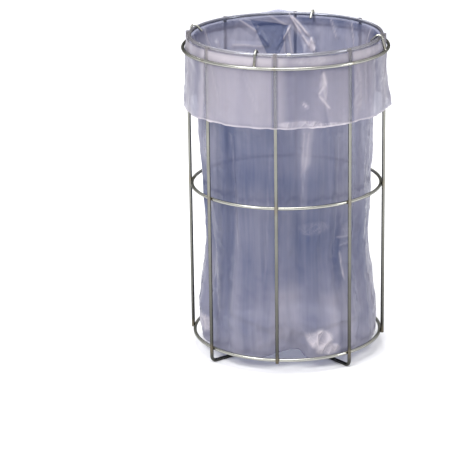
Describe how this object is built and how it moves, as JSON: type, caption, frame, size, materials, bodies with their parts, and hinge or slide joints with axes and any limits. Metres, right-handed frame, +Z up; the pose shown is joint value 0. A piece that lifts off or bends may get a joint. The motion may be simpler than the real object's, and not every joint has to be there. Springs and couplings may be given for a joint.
{
  "type": "plastic bag holder",
  "caption": "Welded wire cage on two crossed leg hoops, with a liner bag turned down over its top ring and a loose hooked ring that holds the cuff.",
  "frame": {"origin": "on the floor, under the middle of the rings", "axes": "+Z up along the middle of the rings, -Y to the front, +X to the right"},
  "size_m": [0.3876, 0.3876, 0.6152],
  "materials": {
    "frame_wire": "drawn stainless wire, satin",
    "ring_wire": "drawn stainless wire, satin",
    "hook_wire": "drawn stainless wire, satin",
    "bag_film": "hazy polythene film, thin and creased"
  },
  "bodies": {
    "frame": {"top_ring": "frame_wire", "middle_ring": "frame_wire", "bottom_ring": "frame_wire", "upright_front": "frame_wire", "upright_right": "frame_wire", "upright_back": "frame_wire", "upright_left": "frame_wire", "leg_hoop_under": "frame_wire", "leg_hoop_over": "frame_wire"},
    "bag": {"liner_bag": "bag_film"},
    "retainer": {"retaining_ring": "ring_wire", "hook_front": "hook_wire", "hook_right": "hook_wire", "hook_back": "hook_wire", "hook_left": "hook_wire"}
  },
  "joints": [
    {"name": "bag_lift", "type": "slide", "parent": "frame", "child": "bag", "axis": [0, 0, 1], "range_m": [0, 0.62]},
    {"name": "ring_lift", "type": "slide", "parent": "bag", "child": "retainer", "axis": [0, 0, 1], "range_m": [0, 0.1]}
  ]
}
